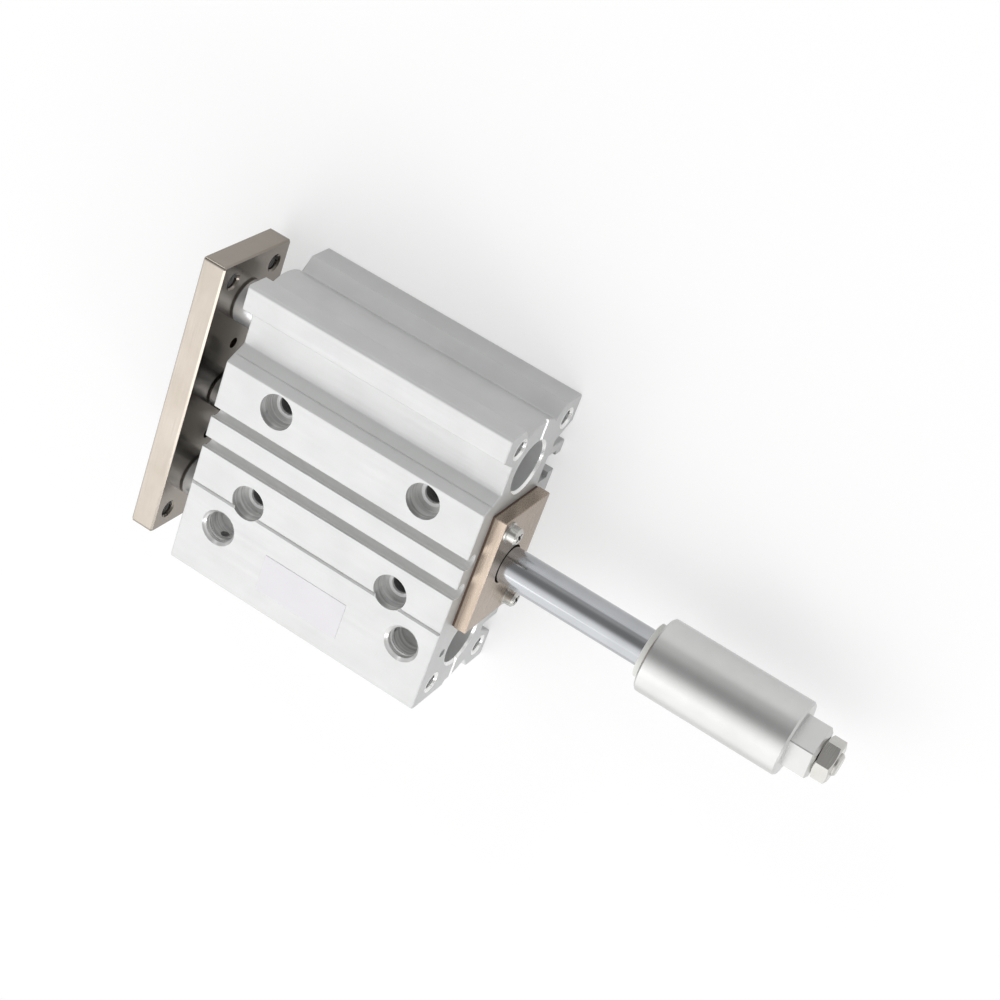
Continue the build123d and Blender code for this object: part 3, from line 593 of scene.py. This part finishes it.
@dataclass
class Housing:
    """Threads cut in the body: two ports, four mounting holes and four holes of the rear end face."""

    height: float = 36.0
    rear_face: float = -38.0
    port_y: float = 25.5
    port_xs: tuple[float, float] = (-29.4, 28.0)
    mount_spacing: tuple[float, float] = (44.0, 28.0)
    end_hole_y: float = 36.0
    end_hole_zs: tuple[float, float] = (5.0, 29.0)
    pieces: list[bpy.types.Object] = field(default_factory=list)

    def build(self, materials: dict[str, bpy.types.Material]) -> None:
        """Wind every thread of the body.

        Args:
            materials: Finished materials by name.
        """
        for x, place in zip(self.port_xs, ("rear", "front")):
            mouth = (x, self.port_y, self.height)
            self.cut(f"{place}_port_thread", mouth, (0, 0, 1), PORT_THREAD, materials)
        for x_side, x_name in ((-1, "rear"), (1, "front")):
            for y_side, y_name in SIDES:
                mouth = (x_side * self.mount_spacing[0] / 2, y_side * self.mount_spacing[1] / 2, 0.0)
                name = f"mounting_thread_{x_name}_{y_name}"
                self.cut(name, mouth, (0, 0, -1), MOUNTING_THREAD, materials)
        for y_side, y_name in SIDES:
            for z, z_name in zip(self.end_hole_zs, ("back", "top")):
                mouth = (self.rear_face, y_side * self.end_hole_y, z)
                name = f"rear_face_thread_{y_name}_{z_name}"
                self.cut(name, mouth, (-1, 0, 0), REAR_FACE_THREAD, materials)

    def cut(
        self,
        name: str,
        mouth: tuple[float, float, float],
        outward: tuple[float, float, float],
        form: Form,
        materials: dict[str, bpy.types.Material],
    ) -> None:
        """Wind one thread inside a hole of the body."""
        thread = Thread(name, mouth, outward, form, Body.HOUSING, "body_aluminium")
        self.pieces.append(thread.build(materials))


@dataclass
class Carriage:
    """Threads of the four tapped holes of the tooling plate."""

    outer_face: float = 54.3
    axis_height: float = 19.0
    spacing: tuple[float, float] = (70.0, 18.0)
    pieces: list[bpy.types.Object] = field(default_factory=list)

    def build(self, materials: dict[str, bpy.types.Material]) -> None:
        """Wind the plate's threads.

        Args:
            materials: Finished materials by name.
        """
        for y_side, y_name in SIDES:
            for z_side, z_name in ((-1, "back"), (1, "top")):
                mouth = (
                    self.outer_face,
                    y_side * self.spacing[0] / 2,
                    self.axis_height + z_side * self.spacing[1] / 2,
                )
                name = f"plate_thread_{y_name}_{z_name}"
                thread = Thread(name, mouth, (1, 0, 0), PLATE_THREAD, Body.CARRIAGE, "nickel_plate")
                self.pieces.append(thread.build(materials))


@dataclass(frozen=True)
class Softbox:
    """Square soft lamp that faces the part. Sizes are in metres, and its power is in watts."""

    name: str
    place: tuple[float, float, float]
    size: float
    power: float

    def build(self) -> None:
        """Hang the lamp."""
        lamp = bpy.data.lights.new(self.name, "AREA")
        lamp.size = self.size
        lamp.energy = self.power
        holder = bpy.data.objects.new(self.name, lamp)
        holder.location = self.place
        holder.rotation_euler = Vector(self.place).to_track_quat("Z", "Y").to_euler()
        bpy.context.scene.collection.objects.link(holder)


@dataclass(frozen=True)
class Area:
    """Soft round area of the light tent.

    towards is the direction of its middle, edge and full are the cosines of the angles at which it begins and
    from which it is full, and level is the tent's strength there.
    """

    towards: tuple[float, float, float]
    edge: float
    full: float
    level: float


@dataclass
class Studio:
    """White floor, light tent, soft lamps and the camera. Sizes are in metres."""

    floor_size: float = 24.0
    floor_colour: str = "FFFFFF"
    floor_shade: str = "CACACA"
    floor_glow: float = 0.55
    tent_level: float = 0.53
    bright_area: Area = Area((0.1, 0.75, 0.65), 0.25, 0.95, 1.52)
    dark_area: Area = Area((0.2, -0.5, 0.84), 0.85, 0.985, 0.31)
    backdrop_heights: tuple[float, float] = (0.15, 0.35)
    softboxes: tuple[Softbox, ...] = (
        Softbox("mirror_softbox", (0.46, 0.67, 1.04), 0.44, 0.85),
        Softbox("rear_softbox", (-1.02, 0.61, 0.55), 0.34, 1.5),
        Softbox("near_softbox", (0.55, -1.02, 0.59), 0.3, 0.9),
    )
    camera_place: tuple[float, float, float] = (-0.18414, -0.29473, 0.45681)
    camera_turn: tuple[float, float, float] = (-22.869, 28.530, -159.608)
    camera_lens: float = 79.97
    camera_sensor: float = 36.0
    camera_nearest: float = 0.01

    def build(self) -> None:
        """Set up the floor, the world, the lamps and the camera."""
        self.make_floor()
        self.light_world()
        for softbox in self.softboxes:
            softbox.build()
        self.place_camera()
        bpy.context.scene.view_settings.view_transform = "Standard"

    def make_floor(self) -> None:
        """Lay a white floor under the part, which shows white to camera and metal and keeps the shadow."""
        work = bmesh.new()
        bmesh.ops.create_grid(work, x_segments=1, y_segments=1, size=self.floor_size / 2)
        mesh = bpy.data.meshes.new("studio_floor")
        work.to_mesh(mesh)
        work.free()
        floor = bpy.data.objects.new("studio_floor", mesh)
        bpy.context.scene.collection.objects.link(floor)
        material = bpy.data.materials.new("studio_floor_white")
        material.use_nodes = True
        tree = material.node_tree
        tree.nodes.remove(tree.nodes["Principled BSDF"])
        seen = self.seen_rays(tree)
        share = add_node(tree, "ShaderNodeMath", {"operation": "MULTIPLY"}, {0: seen, 1: self.floor_glow})
        colour = add_node(
            tree,
            "ShaderNodeMix",
            {"data_type": "RGBA"},
            {"Factor": seen, 6: linear(self.floor_shade), 7: linear(self.floor_colour)},
        )
        paint = add_node(tree, "ShaderNodeBsdfDiffuse", inputs={"Color": colour.outputs[2]})
        glow = add_node(tree, "ShaderNodeEmission", inputs={"Color": (1, 1, 1, 1), "Strength": 1.0})
        mix = add_node(
            tree,
            "ShaderNodeMixShader",
            inputs={0: share.outputs[0], 1: paint.outputs[0], 2: glow.outputs[0]},
        )
        tree.links.new(mix.outputs[0], tree.nodes["Material Output"].inputs["Surface"])
        mesh.materials.append(material)

    def light_world(self) -> None:
        """Surround the part with a light tent, which is bright behind it and dark where the camera stands."""
        world = bpy.data.worlds.new("light_tent")
        world.use_nodes = True
        tree = world.node_tree
        place = add_node(tree, "ShaderNodeTexCoord").outputs["Generated"]
        bright = self.spot(tree, place, self.bright_area)
        dark = self.spot(tree, place, self.dark_area)
        level = add_node(tree, "ShaderNodeMath", inputs={0: bright, 1: dark}).outputs[0]
        level = add_node(tree, "ShaderNodeMath", inputs={0: level, 1: self.tent_level}).outputs[0]
        height = add_node(tree, "ShaderNodeSeparateXYZ", inputs={0: place}).outputs["Z"]
        low, high = self.backdrop_heights
        backdrop = add_node(
            tree,
            "ShaderNodeMapRange",
            {"interpolation_type": "SMOOTHSTEP"},
            {"Value": height, "From Min": low, "From Max": high, "To Min": 1.0, "To Max": 0.0},
        ).outputs["Result"]
        shown = add_node(
            tree, "ShaderNodeMath", {"operation": "MULTIPLY"}, {0: backdrop, 1: self.seen_rays(tree)}
        ).outputs[0]
        strength = add_node(
            tree, "ShaderNodeMath", {"operation": "MAXIMUM"}, {0: level, 1: shown}
        ).outputs[0]
        background = tree.nodes["Background"]
        background.inputs["Color"].default_value = (1.0, 1.0, 1.0, 1.0)
        tree.links.new(strength, background.inputs["Strength"])
        bpy.context.scene.world = world

    def spot(
        self, tree: bpy.types.NodeTree, place: bpy.types.NodeSocket, area: Area
    ) -> bpy.types.NodeSocket:
        """Add a soft round area of the tent.

        Args:
            tree: Node tree of the world.
            place: Direction that is looked in.
            area: The area's place and level.

        Returns:
            The strength that the area adds, below zero where it darkens.
        """
        near = add_node(
            tree,
            "ShaderNodeVectorMath",
            {"operation": "DOT_PRODUCT"},
            {0: place, 1: Vector(area.towards).normalized()},
        ).outputs["Value"]
        return add_node(
            tree,
            "ShaderNodeMapRange",
            {"interpolation_type": "SMOOTHSTEP"},
            {
                "Value": near,
                "From Min": area.edge,
                "From Max": area.full,
                "To Min": 0.0,
                "To Max": area.level - self.tent_level,
            },
        ).outputs["Result"]

    def seen_rays(self, tree: bpy.types.NodeTree) -> bpy.types.NodeSocket:
        """Add a value that is 1 for rays of the camera, of metal and of glass.

        Args:
            tree: Node tree of a material or the world.

        Returns:
            The value.
        """
        rays = add_node(tree, "ShaderNodeLightPath").outputs
        seen = add_node(
            tree,
            "ShaderNodeMath",
            {"operation": "MAXIMUM"},
            {0: rays["Is Camera Ray"], 1: rays["Is Glossy Ray"]},
        ).outputs[0]
        return add_node(
            tree, "ShaderNodeMath", {"operation": "MAXIMUM"}, {0: seen, 1: rays["Is Transmission Ray"]}
        ).outputs[0]

    def place_camera(self) -> None:
        """Stand the camera where the photograph was taken."""
        lens = bpy.data.cameras.new("product_camera")
        lens.lens = self.camera_lens
        lens.sensor_width = self.camera_sensor
        lens.clip_start = self.camera_nearest
        camera = bpy.data.objects.new("product_camera", lens)
        camera.location = self.camera_place
        camera.rotation_euler = Euler([math.radians(a) for a in self.camera_turn], "XYZ")
        bpy.context.scene.collection.objects.link(camera)
        bpy.context.scene.camera = camera


def main() -> None:
    """Dress the solid model, add the cut threads and set up the studio."""
    materials = dress_nodes()
    Housing().build(materials)
    Carriage().build(materials)
    Studio().build()


if __name__ == "__main__":
    main()
